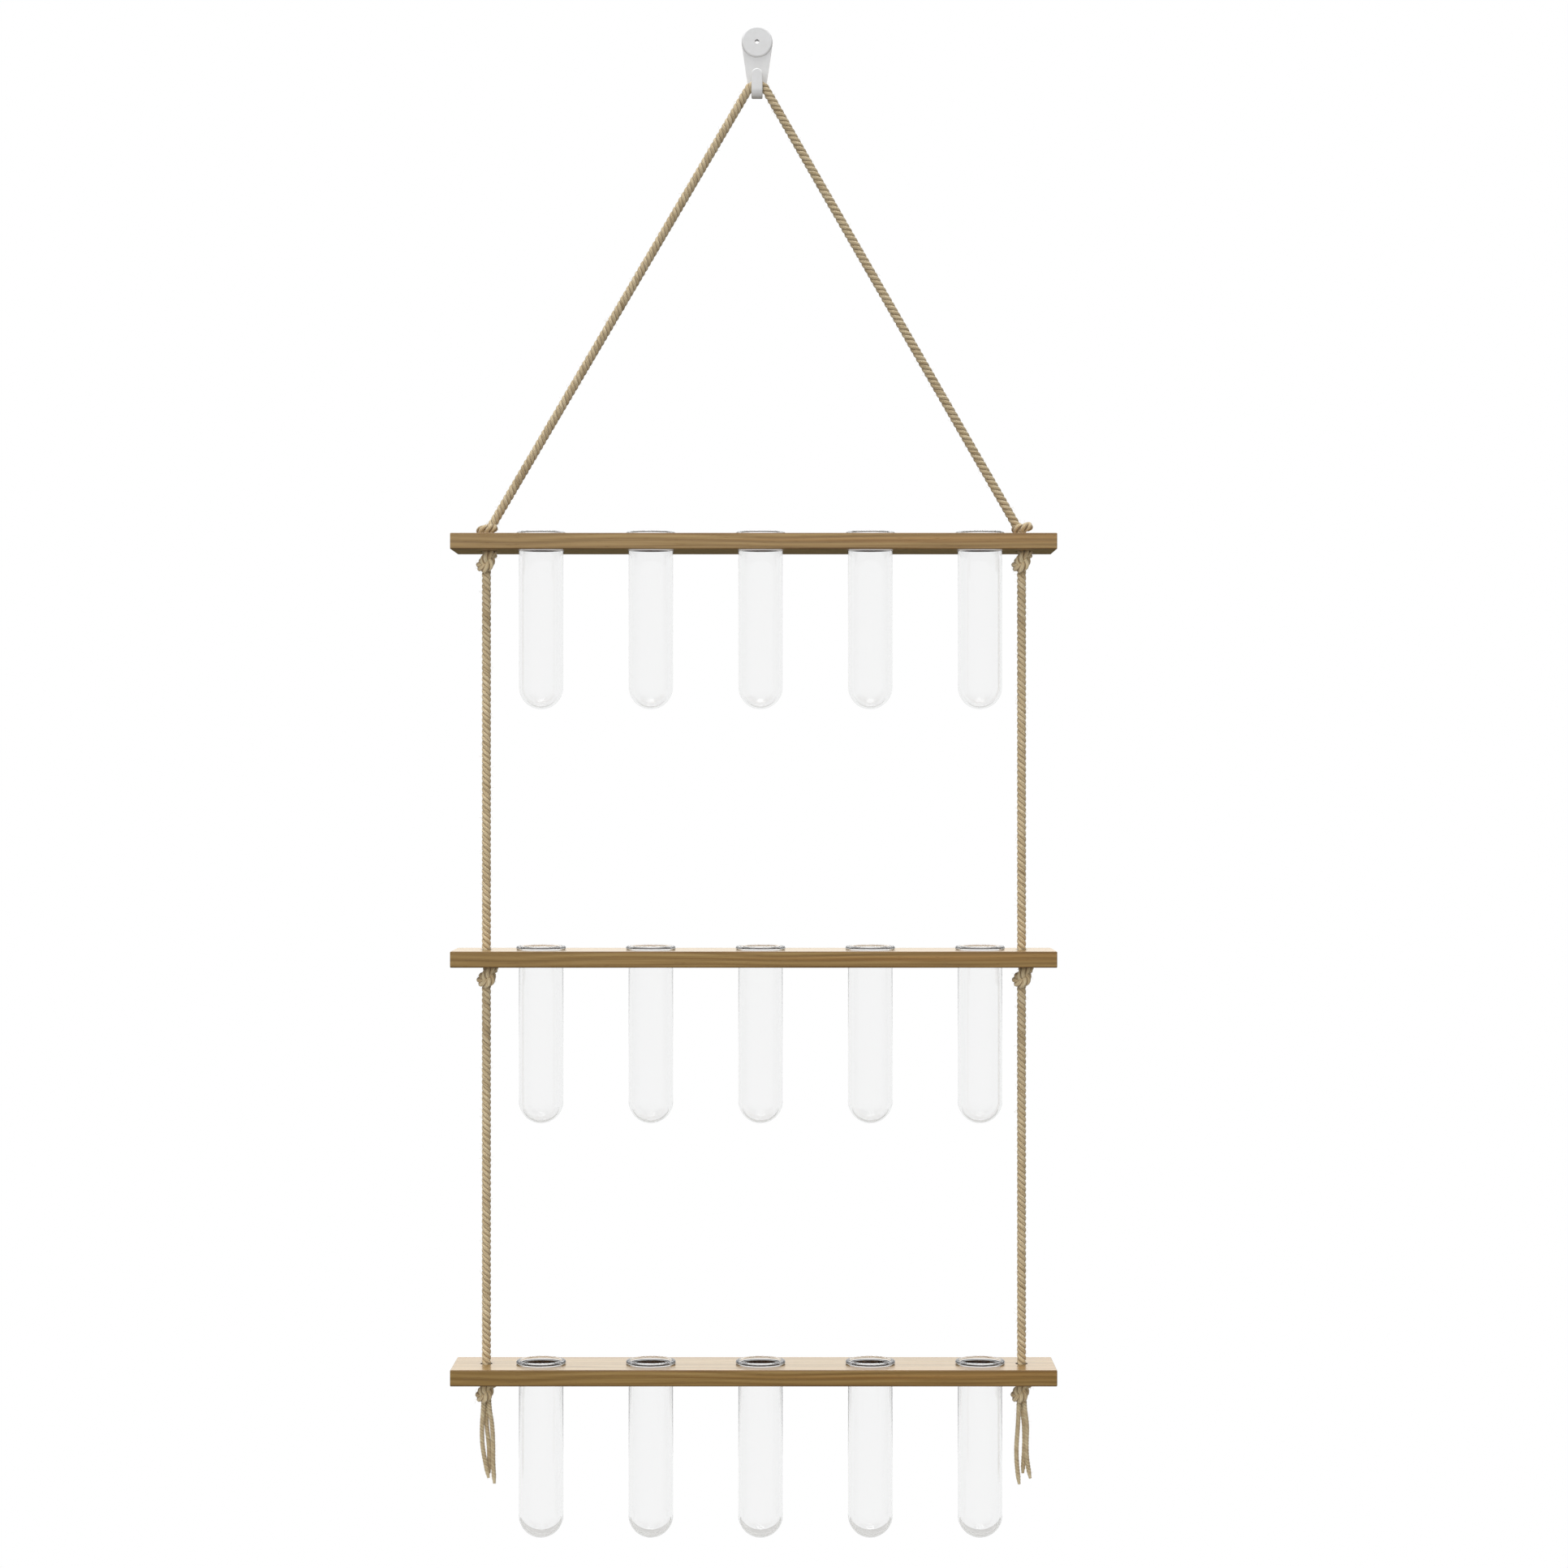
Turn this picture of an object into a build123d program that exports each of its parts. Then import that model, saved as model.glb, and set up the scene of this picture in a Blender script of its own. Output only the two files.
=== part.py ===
"""Three-tier hanging propagation station: glass tubes in wooden bars on one jute rope from a wall hook.

Millimetres. +Z is up, the wall is the plane Y = 0 and the front looks along -Y.
The origin is on the axis of the hook's nail hole, where it meets the wall.
"""

import os
from math import cos, pi, radians, sin, tan

from build123d import *

os.makedirs("parts", exist_ok=True)

# Wall hook, one moulding
head_radius = 8.8
head_depth = 5.0
head_edge_round = 1.1
nail_hole_radius = 1.3
neck_depth = 3.8
neck_width = 10.6
neck_drop = 24.9
tongue_width = 6.3
tongue_thickness = 2.4
tongue_tip_drop = 16.8
throat_depth = 7.2
saddle_thickness = 4.5
saddle_round = 4.2
hook_edge_round = 0.7

# Jute rope: three strands laid together
rope_diameter = 5.2
strand_diameter = 2.5
rope_hook_gap = 0.35
rope_apex_drop = 25.0
rope_stand_off = 7.3

# Wooden bars
bar_length = 338.0
bar_depth = 45.0
bar_thickness = 9.1
bar_edge_round = 0.6
top_bar_drop = 281.9
tier_pitch = 233.0
bar_side_shift = -1.6
rope_hole_inset = 18.4
rope_hole_gap = 0.9

# Glass tubes
tubes_per_bar = 5
tube_end_inset = 45.5
tube_row_shift = 3.7
tube_diameter = 25.0
tube_length = 100.0
tube_wall = 1.2
tube_base = 1.4
tube_hole_gap = 0.4
rim_diameter = 28.0
rim_height = 2.2
rim_under_round = 0.5
rim_top_round = 0.9
rim_mouth_round = 0.8

# Overhand knots: two rope turns round the rope's own core
turn_radius = 3.1
turn_push = 0.8
turn_tip_degrees = 14.0
turn_rise = 2.05
knot_height = 10.8
knot_seat = 0.1

# Knots on the top bar: one tipped, squeezed turn that the leg of the V rises through
leg_rise = 0.5
leg_neck = 8.6
leg_root_bend = 6.0
upper_turn_radius = 3.9
upper_turn_thickness = 4.4
upper_turn_tip_degrees = 16.0
upper_turn_shift = 0.4
right_turn_lift = 0.8

# Swing of the lower tiers at the knots above them
swing_degrees = 20.0
pivot_gap = 0.3

# Places worked out from the sizes above
rope_radius = rope_diameter / 2
strand_radius = strand_diameter / 2
tube_radius = tube_diameter / 2
bore_radius = tube_radius - tube_wall
bar_y = -bar_depth / 2
rope_y = bar_y
rope_span = bar_length / 2 - rope_hole_inset
rope_sides = {"left": bar_side_shift - rope_span, "right": bar_side_shift + rope_span}
bar_tops = {name: -top_bar_drop - tier * tier_pitch for tier, name in enumerate(("top", "middle", "bottom"))}
tube_row_x = bar_side_shift + tube_row_shift
tube_pitch = (bar_length - 2 * tube_end_inset) / (tubes_per_bar - 1)
tube_places = [tube_row_x + (i - (tubes_per_bar - 1) / 2) * tube_pitch for i in range(tubes_per_bar)]
crown_radius = tongue_width / 2
crown_top = -rope_apex_drop - rope_radius - rope_hook_gap
hook_foot = crown_top - saddle_thickness
pocket_radius = rope_radius / cos(radians(swing_degrees)) + pivot_gap


def knot_top(bar):
    """Height of the upper end of the knots that hang under a bar."""
    return bar_tops[bar] - bar_thickness - knot_seat


def knot_foot(bar):
    """Height of the lower end of those knots, where the rope leaves them."""
    return knot_top(bar) - knot_height


def keep(piece, name):
    """Label a finished piece and write it out under its own name."""
    piece.part.label = name
    export_step(piece.part, f"parts/{name}.step")


def bend_radii(points):
    """Radius at each corner of a cord's route: as large as the two runs beside it allow."""
    radii = []
    reach_share = 0.45
    for before, corner, after in zip(points, points[1:], points[2:]):
        run_in = Vector(corner) - Vector(before)
        run_out = Vector(after) - Vector(corner)
        turn = run_in.get_angle(run_out)
        radii.append(reach_share * min(run_in.length, run_out.length) / tan(radians(turn) / 2))
    return radii


def swept_cord(name, points, radii, radius):
    """Round cord along straight runs joined by tangent arcs."""
    with BuildPart() as cord:
        with BuildLine():
            route = FilletPolyline(*points, radius=radii)
        with BuildSketch(Plane(origin=route @ 0, z_dir=route % 0)):
            Circle(radius)
        sweep(path=route)
    length = route.length
    expected = pi * radius**2 * length
    print(f"{name}: length {length:.1f} mm, bends {[round(r, 1) for r in radii]} mm,"
          f" volume {cord.part.volume:.1f} mm3, section times length {expected:.1f} mm3")
    keep(cord, name)


def round_topped(width, foot, top):
    """Upright strip outline on the current sketch, with a half-round upper end and a straight foot."""
    shoulder = top - width / 2
    with Locations((0, shoulder)):
        Circle(width / 2)
    with Locations((0, (foot + shoulder) / 2)):
        Rectangle(width, shoulder - foot)
    with Locations((0, foot - width / 2)):
        Rectangle(width, width, mode=Mode.SUBTRACT)


def wall_plane(stand_off):
    """Upright sketch plane that looks out from the wall, a given distance in front of it."""
    return Plane(origin=(0, -stand_off, 0), x_dir=(1, 0, 0), z_dir=(0, -1, 0))


# Wall hook: round head over a tapering neck, and a saddle that reaches forward to the tongue
throat_front = neck_depth + throat_depth
tongue_front = throat_front + tongue_thickness
neck_corner_x = neck_width / 2 - hook_edge_round
neck_corner_z = hook_edge_round - neck_drop

with BuildPart() as wall_hook:
    with BuildSketch(wall_plane(0)) as neck_outline:
        with Locations((-neck_corner_x, neck_corner_z), (neck_corner_x, neck_corner_z)):
            Circle(hook_edge_round)
        Circle(head_radius)
        make_hull()
    extrude(amount=neck_depth)
    with BuildSketch(wall_plane(0)):
        Circle(head_radius)
    extrude(amount=head_depth)
    with BuildSketch(wall_plane(0)):
        round_topped(tongue_width, hook_foot, -neck_drop / 2)
    extrude(amount=neck_depth)
    with BuildSketch(wall_plane(0)):
        round_topped(tongue_width, hook_foot, crown_top)
    extrude(amount=tongue_front)
    with BuildSketch(wall_plane(throat_front)):
        round_topped(tongue_width, hook_foot, -tongue_tip_drop)
    extrude(amount=tongue_thickness)
    with BuildSketch(Plane.YZ):
        for corner_y, way in ((0, -1), (-tongue_front, 1)):
            with Locations((corner_y + way * saddle_round / 2, hook_foot + saddle_round / 2)):
                Rectangle(saddle_round, saddle_round)
            with Locations((corner_y + way * saddle_round, hook_foot + saddle_round)):
                Circle(saddle_round, mode=Mode.SUBTRACT)
    extrude(amount=tongue_width, both=True, mode=Mode.SUBTRACT)
    tongue_face = wall_hook.faces().sort_by(Axis.Y)[0]
    fillet(tongue_face.edges().sort_by(Axis.Z)[1:], hook_edge_round)
    head_face = wall_hook.faces().filter_by(Plane.XZ).sort_by(lambda f: abs(f.center().Y + head_depth))[0]
    fillet(head_face.edges(), head_edge_round)
    with BuildSketch(wall_plane(0)):
        Circle(nail_hole_radius)
    extrude(amount=head_depth, mode=Mode.SUBTRACT)
keep(wall_hook, "wall_hook")

# Bars: five tube holes in a row and a rope hole near each end
for bar, bar_top in bar_tops.items():
    with BuildPart() as wooden_bar:
        with BuildSketch(Plane(origin=(bar_side_shift, bar_y, bar_top))):
            Rectangle(bar_length, bar_depth)
        extrude(amount=-bar_thickness)
        fillet(wooden_bar.edges(), bar_edge_round)
        with BuildSketch(Plane(origin=(0, bar_y, bar_top))):
            with Locations(*[(x, 0) for x in tube_places]):
                Circle(tube_radius + tube_hole_gap)
            with Locations(*[(x, 0) for x in rope_sides.values()]):
                Circle(rope_radius + rope_hole_gap)
        extrude(amount=-bar_thickness, mode=Mode.SUBTRACT)
    keep(wooden_bar, f"{bar}_bar")


def glass_tube(name, x, seat):
    """Round-bottomed tube whose flared rim rests on its bar at the given height."""
    middle = Plane(origin=(x, bar_y, seat), x_dir=(1, 0, 0), z_dir=(0, -1, 0))
    rim_radius = rim_diameter / 2
    foot = rim_height - tube_length
    floor = foot + tube_base
    with BuildPart() as tube:
        with BuildSketch(middle) as section:
            with BuildLine():
                RadiusArc((0, foot), (tube_radius, foot + tube_radius), -tube_radius)
                Polyline((tube_radius, foot + tube_radius), (tube_radius, 0), (rim_radius, 0),
                         (rim_radius, rim_height), (bore_radius, rim_height),
                         (bore_radius, floor + bore_radius))
                RadiusArc((bore_radius, floor + bore_radius), (0, floor), bore_radius)
                Line((0, floor), (0, foot))
            make_face()
            fillet(section.vertices().group_by(Axis.X)[-1].sort_by(Axis.Y)[0], rim_under_round)
            fillet(section.vertices().group_by(Axis.X)[-1].sort_by(Axis.Y)[-1], rim_top_round)
            fillet(section.vertices().group_by(Axis.Y)[-1].sort_by(Axis.X)[0], rim_mouth_round)
        revolve(axis=Axis((x, bar_y, seat), (0, 0, 1)))
    keep(tube, name)


for bar, bar_top in bar_tops.items():
    for number, x in enumerate(tube_places, start=1):
        glass_tube(f"{bar}_tube_{number}", x, bar_top)

# Hanging V: from the knots on the top bar up over the hook's saddle, leaning back to the hook
saddle_bend = crown_radius + rope_hook_gap + rope_radius
apex = Vector(0, -rope_stand_off, -rope_apex_drop)
leg_roots = {side: Vector(x, rope_y, bar_tops["top"] + leg_rise) for side, x in rope_sides.items()}
leg_tops = {}
for side, root in leg_roots.items():
    slope = (apex - root).get_angle(Vector(0, 0, 1))
    half_top = saddle_bend * tan(radians(90 - slope) / 2)
    outward = -1 if side == "left" else 1
    leg_tops[side] = apex + Vector(outward * half_top, 0, 0)
leg_ways = {side: (leg_tops[side] - leg_roots[side]).normalized() for side in rope_sides}
leg_feet = {side: leg_roots[side] + leg_ways[side] * leg_neck for side in rope_sides}
hanging_points = [leg_feet["left"], leg_tops["left"], leg_tops["right"], leg_feet["right"]]
top_run = (leg_tops["right"] - leg_tops["left"]).length
hanging_turns = [leg_ways["left"].get_angle(Vector(1, 0, 0)), leg_ways["right"].get_angle(Vector(-1, 0, 0))]
bend_reach_share = 0.49
hanging_radii = [bend_reach_share * top_run / tan(radians(turn) / 2) for turn in hanging_turns]
swept_cord("hanging_rope", hanging_points, hanging_radii, rope_radius)


def knot_turns(x, z):
    """Two tipped rope turns, one pushed to each side, on a core of rope: the body of an overhand knot."""
    for turn in (1, -1):
        middle = (x + turn * turn_push, rope_y, z + turn * turn_rise)
        with Locations(Location(middle, (0, -turn_tip_degrees, 0))):
            Torus(turn_radius, rope_radius)
    with Locations((x, rope_y, z)):
        Cylinder(rope_radius, knot_height)


for side, x in rope_sides.items():
    # Knot on the top bar, with the rope that runs down through the bar and the neck that starts the V
    turn_lift = right_turn_lift if side == "right" else 0
    turn_half_height = upper_turn_thickness / 2 + upper_turn_radius * sin(radians(upper_turn_tip_degrees))
    turn_z = bar_tops["top"] + knot_seat + turn_half_height + turn_lift
    turn_middle = (x + upper_turn_shift, rope_y, turn_z)
    with BuildPart() as upper_knot:
        with BuildLine():
            hole_foot = (x, rope_y, knot_top("top"))
            rise = FilletPolyline(hole_foot, leg_roots[side], leg_feet[side], radius=leg_root_bend)
        with BuildSketch(Plane(origin=rise @ 0, z_dir=rise % 0)):
            Circle(rope_radius)
        sweep(path=rise)
        with Locations(Location(turn_middle, (0, -upper_turn_tip_degrees, 0))):
            Torus(upper_turn_radius, upper_turn_thickness / 2)
    keep(upper_knot, f"{side}_upper_knot")

    # Knots under the bars; the rope below swings in a round pocket in the first two
    for bar in bar_tops:
        with BuildPart() as knot:
            knot_turns(x, knot_top(bar) - knot_height / 2)
            if bar != "bottom":
                with Locations((x, rope_y, knot_foot(bar))):
                    Sphere(pocket_radius, mode=Mode.SUBTRACT)
        keep(knot, f"{side}_{bar}_knot")

    # Straight drops between the bars, round-ended where they leave the knot above
    for upper, lower in (("top", "middle"), ("middle", "bottom")):
        pivot = knot_foot(upper)
        drop = pivot - knot_top(lower)
        with BuildPart() as rope_drop:
            with BuildSketch(Plane(origin=(x, rope_y, pivot), x_dir=(1, 0, 0), z_dir=(0, -1, 0))):
                with BuildLine():
                    RadiusArc((0, rope_radius), (rope_radius, 0), rope_radius)
                    Polyline((rope_radius, 0), (rope_radius, -drop), (0, -drop), (0, rope_radius))
                make_face()
            revolve(axis=Axis((x, rope_y, pivot), (0, 0, 1)))
        print(f"{side}_{lower}_rope: length {drop + rope_radius:.1f} mm, straight")
        keep(rope_drop, f"{side}_{lower}_rope")

# Unlaid strands under the bottom knots: places from the rope's axis and the knot's foot
strand_routes = {
    "left_outer": [(-1.6, -0.9, 0), (-1.6, -0.9, -5), (-2.4, -1.2, -14), (-2.3, -1.4, -25),
                   (-0.6, -1.3, -35), (1.3, -1.2, -44)],
    "left_inner": [(1.6, -0.9, 0), (1.6, -0.9, -5), (3.4, -1.2, -14), (3.9, -1.3, -26),
                   (3.8, -1.2, -37), (4.6, -1.0, -47.2)],
    "left_back": [(0, 1.75, 0), (0, 1.75, -5), (-0.2, 2.0, -14), (1.1, 1.8, -24),
                  (1.6, 1.7, -33), (1.4, 1.8, -42)],
    "right_inner": [(-1.6, -0.9, 0), (-1.6, -0.9, -5), (-2.1, -1.3, -15), (-3.1, -1.3, -27),
                    (-2.7, -1.2, -38), (-1.4, -1.0, -47.6)],
    "right_outer": [(1.6, -0.9, 0), (1.6, -0.9, -5), (3.1, -1.2, -14), (2.6, -1.3, -25),
                    (2.9, -1.3, -35), (4.8, -1.1, -44.3)],
    "right_back": [(0, 1.75, 0), (0, 1.75, -5), (1.0, 2.0, -14), (1.2, 1.7, -24),
                   (0.9, 1.8, -33), (0.4, 1.9, -42)],
}
for name, route in strand_routes.items():
    side = name.split("_")[0]
    root = Vector(rope_sides[side], rope_y, knot_foot("bottom"))
    points = [root + Vector(place) for place in route]
    swept_cord(f"{name}_strand", points, bend_radii(points), strand_radius)

print(f"tiers hang at {[round(z, 1) for z in bar_tops.values()]} mm, swings at"
      f" {round(knot_foot('top'), 2)} and {round(knot_foot('middle'), 2)} mm")
print(f"rope holes at {[round(x, 2) for x in rope_sides.values()]} mm,"
      f" tubes at {[round(x, 2) for x in tube_places]} mm")
print(f"hook foot {hook_foot:.2f} mm, saddle bend {saddle_bend:.2f} mm, pocket {pocket_radius:.2f} mm")
print(f"leg feet at {[[round(c, 2) for c in foot] for foot in leg_feet.values()]} mm")
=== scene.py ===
# %% [markdown]
# # A hanging propagation station
# Fifteen glass tubes sit in three wooden bars, the bars hang on one jute rope, and the rope goes over a
# small plastic hook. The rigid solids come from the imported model, in metres, with the wall at Y = 0. This
# lesson adds what the solids lack: laid rope, tied knots, clear glass, wood grain and soft light.

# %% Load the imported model
import math

import bmesh
import bpy
import numpy as np
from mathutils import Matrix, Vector


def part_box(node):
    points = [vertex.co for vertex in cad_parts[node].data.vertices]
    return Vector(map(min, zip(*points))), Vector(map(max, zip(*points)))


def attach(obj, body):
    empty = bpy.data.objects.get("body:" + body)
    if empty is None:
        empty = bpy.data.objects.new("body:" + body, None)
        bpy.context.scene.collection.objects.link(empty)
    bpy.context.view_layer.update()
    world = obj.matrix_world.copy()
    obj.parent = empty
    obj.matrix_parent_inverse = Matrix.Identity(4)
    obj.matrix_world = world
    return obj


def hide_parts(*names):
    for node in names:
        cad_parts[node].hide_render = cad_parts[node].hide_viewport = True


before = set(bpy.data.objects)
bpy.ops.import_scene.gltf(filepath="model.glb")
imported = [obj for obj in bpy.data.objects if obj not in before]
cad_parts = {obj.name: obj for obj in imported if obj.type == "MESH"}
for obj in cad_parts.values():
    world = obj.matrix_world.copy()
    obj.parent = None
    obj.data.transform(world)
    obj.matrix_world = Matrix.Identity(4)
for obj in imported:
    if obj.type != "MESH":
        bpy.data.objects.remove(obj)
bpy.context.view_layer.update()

scene = bpy.context.scene
scene.view_settings.view_transform = "Standard"

# %% [markdown]
# ## The camera
# The picture was taken from straight ahead, a little below the top bar, with a long lens: the undersides
# of the top tier and the tops of the lower tiers both show. A camera that looks along +Y with no tilt
# keeps the ropes upright. The lens comes from how much smaller the back edges of the bars look than their
# front edges.

# %% Camera
portrait = bpy.data.objects.new("portrait_camera", bpy.data.cameras.new("portrait_camera"))
portrait.data.lens = 79.6
portrait.data.sensor_width = 36.0
portrait.location = (0.0153, -1.974, -0.4217)
portrait.rotation_euler = (math.pi / 2, 0, 0)
scene.collection.objects.link(portrait)
scene.camera = portrait
print("camera", round(portrait.data.lens, 1), "mm at", tuple(round(c, 3) for c in portrait.location))

# %% [markdown]
# ## Small helpers for node trees
# Shaders and Geometry Nodes are both node trees. One helper adds a node, changes its settings and fills
# its sockets, either with a value or with another node's output. The others wrap the nodes that are used
# most, so the rest of the lesson stays short.

# %% Node helpers
def add_node(tree, kind, settings=None, **feeds):
    """Add a node; feeds are socket names with _ for a space, or in0, in1 for sockets by number."""
    node = tree.nodes.new(kind)
    for key, value in (settings or {}).items():
        setattr(node, key, value)
    for label, value in feeds.items():
        if label.startswith("in") and label[2:].isdigit():
            socket = node.inputs[int(label[2:])]
        else:
            socket = node.inputs[label.replace("_", " ")]
        if isinstance(value, bpy.types.NodeSocket):
            tree.links.new(value, socket)
        else:
            socket.default_value = value
    return node


def sums(tree, operation, a, b=0.0, c=0.0):
    """One step of arithmetic."""
    return add_node(tree, "ShaderNodeMath", {"operation": operation}, in0=a, in1=b, in2=c).outputs[0]


def vector_sums(tree, operation, a, b=(0, 0, 0)):
    """One step of arithmetic on vectors."""
    return add_node(tree, "ShaderNodeVectorMath", {"operation": operation}, in0=a, in1=b).outputs[0]


def scaled(tree, vector, share):
    """A vector made longer or shorter."""
    return add_node(tree, "ShaderNodeVectorMath", {"operation": "SCALE"}, in0=vector, Scale=share).outputs[0]


def split(tree, vector):
    """The X, Y and Z of a vector."""
    return add_node(tree, "ShaderNodeSeparateXYZ", Vector=vector).outputs


def mapped(tree, amount, low, high, to_low=0.0, to_high=1.0):
    """An amount taken from one range to another, and kept inside it."""
    return add_node(tree, "ShaderNodeMapRange", Value=amount, From_Min=low, From_Max=high, To_Min=to_low,
                    To_Max=to_high).outputs[0]


def blended(tree, *parts):
    """Amounts added up, each times its share."""
    weighed = [sums(tree, "MULTIPLY", amount, share) for amount, share in parts]
    total = weighed[0]
    for part in weighed[1:]:
        total = sums(tree, "ADD", total, part)
    return total


def off_axis(tree, one, two):
    """The distance from an axis, out of two offsets across it."""
    squares = [sums(tree, "MULTIPLY", offset, offset) for offset in (one, two)]
    return sums(tree, "SQRT", sums(tree, "ADD", *squares))

print("node helpers ready")

# %% Colour helpers
white = (1, 1, 1, 1)


def seen_colour(red, green, blue):
    """A colour as it looks on screen, 0 to 255, turned into the linear light that shaders work in."""
    shares = [channel / 255 for channel in (red, green, blue)]
    return tuple(s / 12.92 if s <= 0.04045 else ((s + 0.055) / 1.055) ** 2.4 for s in shares) + (1.0,)


def colour_ramp(tree, amount, stops):
    """Colours along a 0 to 1 amount."""
    ramp = add_node(tree, "ShaderNodeValToRGB", Fac=amount)
    elements = ramp.color_ramp.elements
    while len(elements) < len(stops):
        elements.new(0.5)
    for element, (place, colour) in zip(elements, stops):
        element.position = place
        element.color = colour
    return ramp.outputs["Color"]


def mixed(tree, share, one, two, blend="MIX"):
    """Two colours mixed by a share."""
    settings = {"data_type": "RGBA", "blend_type": blend}
    return add_node(tree, "ShaderNodeMix", settings, in0=share, in6=one, in7=two).outputs[2]


def darkened(tree, colour, amount, stain):
    """A colour stained darker where the amount is high."""
    return mixed(tree, amount, colour, seen_colour(*stain), "MULTIPLY")


def either(tree, share, one, two):
    """Two shaders mixed by a share."""
    return add_node(tree, "ShaderNodeMixShader", Fac=share, in1=one, in2=two).outputs[0]

print("mid grey on screen is", round(seen_colour(128, 128, 128)[0], 3), "of the light")

# %% Finish helpers
def new_finish(name, roughness, **sockets):
    """A material with one Principled shader; plain values go straight onto its sockets."""
    material = bpy.data.materials.new(name)
    material.use_nodes = True
    shader = material.node_tree.nodes["Principled BSDF"]
    shader.inputs["Roughness"].default_value = roughness
    for label, value in sockets.items():
        shader.inputs[label.replace("_", " ")].default_value = value
    return material, material.node_tree, shader


def noise(tree, place, scale, detail):
    """Noise stretched differently along each axis, as a 0 to 1 amount."""
    stretched = add_node(tree, "ShaderNodeMapping", Vector=place, Scale=scale).outputs[0]
    return add_node(tree, "ShaderNodeTexNoise", Vector=stretched, Scale=1.0, Detail=detail,
                    Roughness=0.55).outputs[0]


def bumped(tree, shader, height, strength, distance):
    """Small relief on a finish."""
    bump = add_node(tree, "ShaderNodeBump", Height=height, Strength=strength, Distance=distance).outputs[0]
    tree.links.new(bump, shader.inputs["Normal"])

print("finish helpers ready")

# %% [markdown]
# ## Light, background and floor
# The station hangs against plain white, so the eye sees a white world, straight and through glass.
# Mirror-sharp glass also reflects white, brighter from high up, which gives the rims their highlights.
# Satin surfaces reflect a world that is warm white above the horizon and dark below it. The light that
# falls on the object is softer: a dim world, a wide lamp high overhead and a weak one in front, so the
# tops of the bars are bright, their fronts darker and their undersides darkest. Light may bounce often,
# because it crosses many walls of glass.

# %% World
world = bpy.data.worlds.new("white_studio")
world.use_nodes = True
scene.world = world
sky = world.node_tree
sky.nodes.clear()
rays = add_node(sky, "ShaderNodeLightPath").outputs
seen_rays = sums(sky, "MAXIMUM", rays["Is Camera Ray"], rays["Is Transmission Ray"])
ray_way = add_node(sky, "ShaderNodeTexCoord").outputs["Generated"]
ray_rise = split(sky, ray_way)["Z"]
dark_below, warm_above = (0.085, 0.070, 0.030, 1), (1.0, 0.95, 0.86, 1)
gloss_peak, mirror_peak = 1.5, 4.4
horizon = mapped(sky, ray_rise, -0.05, 0.04)
gloss_colour = colour_ramp(sky, horizon, [(0.0, dark_below), (1.0, warm_above)])
shine_colour = mixed(sky, rays["Is Singular Ray"], gloss_colour, white)
gloss_level = mapped(sky, ray_rise, 0.0, 0.1, 1.0, gloss_peak)
mirror_level = mapped(sky, ray_rise, 0.25, 0.50, 1.0, mirror_peak)
shine_level = add_node(sky, "ShaderNodeMix", in0=rays["Is Singular Ray"], in2=gloss_level,
                       in3=mirror_level).outputs[0]
print("reflections up to", gloss_peak, "in satin and", mirror_peak, "in glass")

# %% Skies
def sky_light(colour, strength):
    """One sky."""
    return add_node(sky, "ShaderNodeBackground", Color=colour, Strength=strength).outputs[0]

soft_colour, soft_strength = (1.0, 0.985, 0.965, 1), 0.34
soft_sky = sky_light(soft_colour, soft_strength)
lighting_sky = either(sky, rays["Is Glossy Ray"], soft_sky, sky_light(shine_colour, shine_level))
whole_sky = either(sky, seen_rays, lighting_sky, sky_light(white, 1.0))
add_node(sky, "ShaderNodeOutputWorld", Surface=whole_sky)
scene.cycles.max_bounces = 24
scene.cycles.glossy_bounces = 16
scene.cycles.transmission_bounces = 24
print("white to the eye,", soft_strength, "of that to the object")

# %% Lamps
station_middle = Vector((0, -0.02, -0.45))


def soft_lamp(name, place, side, power):
    """A square lamp that faces the station and shows in no reflection."""
    lamp = bpy.data.objects.new(name, bpy.data.lights.new(name, "AREA"))
    lamp.data.shape = "SQUARE"
    lamp.data.size = side
    lamp.data.energy = power
    lamp.location = place
    lamp.rotation_euler = (station_middle - Vector(place)).to_track_quat("-Z", "Y").to_euler()
    lamp.visible_glossy = False
    lamp.visible_transmission = False
    scene.collection.objects.link(lamp)

soft_lamp("overhead_lamp", place=(-0.3, -0.3, 3.9), side=3.0, power=190)
soft_lamp("front_lamp", place=(-0.6, -3.4, 0.5), side=2.0, power=50)

# %% [markdown]
# The floor is pale to the eye, straight and through glass, and keeps the object's shadow. To the light
# that bounces up from it, it is darker, so that it doesn't light the undersides. Sharp reflections see it
# white.

# %% Floor
floor_half, floor_height = 1.35, -1.30
floor_signs = ((-1, -1), (1, -1), (1, 1), (-1, 1))
floor_mesh = bpy.data.meshes.new("pale_floor")
floor_mesh.from_pydata([(x * floor_half, y * floor_half, floor_height) for x, y in floor_signs],
                       [], [(0, 1, 2, 3)])
floor_finish, floor_tree, floor_shader = new_finish("pale_floor", 0.8, Specular_IOR_Level=0.0)
floor_rays = add_node(floor_tree, "ShaderNodeLightPath").outputs
floor_seen = sums(floor_tree, "MAXIMUM", floor_rays["Is Camera Ray"], floor_rays["Is Transmission Ray"])
floor_dark, floor_pale = (0.34, 0.33, 0.31, 1), (0.72, 0.715, 0.70, 1)
floor_colour = mixed(floor_tree, floor_seen, floor_dark, floor_pale)
floor_tree.links.new(floor_colour, floor_shader.inputs["Base Color"])
floor_white = add_node(floor_tree, "ShaderNodeEmission", Color=white, Strength=1.0).outputs[0]
floor_mirror = sums(floor_tree, "MULTIPLY", floor_rays["Is Reflection Ray"], floor_rays["Is Singular Ray"])
floor_mix = either(floor_tree, floor_mirror, floor_shader.outputs[0], floor_white)
floor_tree.links.new(floor_mix, floor_tree.nodes["Material Output"].inputs["Surface"])
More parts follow.
